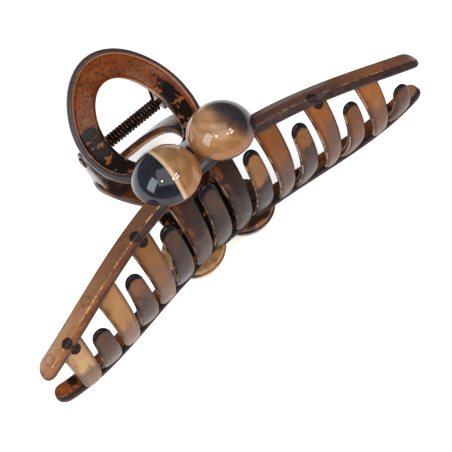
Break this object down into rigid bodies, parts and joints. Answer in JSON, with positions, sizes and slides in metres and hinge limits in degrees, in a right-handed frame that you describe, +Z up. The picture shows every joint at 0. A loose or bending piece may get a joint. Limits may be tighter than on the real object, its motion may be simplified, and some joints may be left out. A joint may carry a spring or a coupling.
{
  "type": "claw clip",
  "caption": "Large sprung hair claw with long arched jaws, interlocking curved teeth, loop finger handles and domed trims",
  "frame": {"origin": "under the middle of the closed clip, on the plane its lower domes touch", "axes": "+X along the jaws, +Y from the teeth to the handles, +Z up, from the lower jaw to the upper jaw"},
  "size_m": [0.1412, 0.0694, 0.0542],
  "materials": {
    "jaw_plastic": "glossy, slightly translucent moulded tortoiseshell plastic",
    "bead_resin": "polished resin, part smoky black and part caramel",
    "spring_steel": "dark bronzed spring wire"
  },
  "bodies": {
    "lower": {"lower_jaw": "jaw_plastic", "lower_left_bead": "bead_resin", "lower_right_bead": "bead_resin", "hinge_pin": "spring_steel", "torsion_spring": "spring_steel"},
    "upper": {"upper_jaw": "jaw_plastic", "upper_left_bead": "bead_resin", "upper_right_bead": "bead_resin"}
  },
  "joints": [
    {"name": "jaw_hinge", "type": "hinge", "parent": "lower", "child": "upper", "pos_m": [0, 0.02321, 0.0271], "axis": [-1, 0, 0], "range_deg": [0, 60], "stiffness_Nm_per_rad": 0.12, "springref_deg": -34.38, "deforming": ["torsion_spring"]}
  ]
}
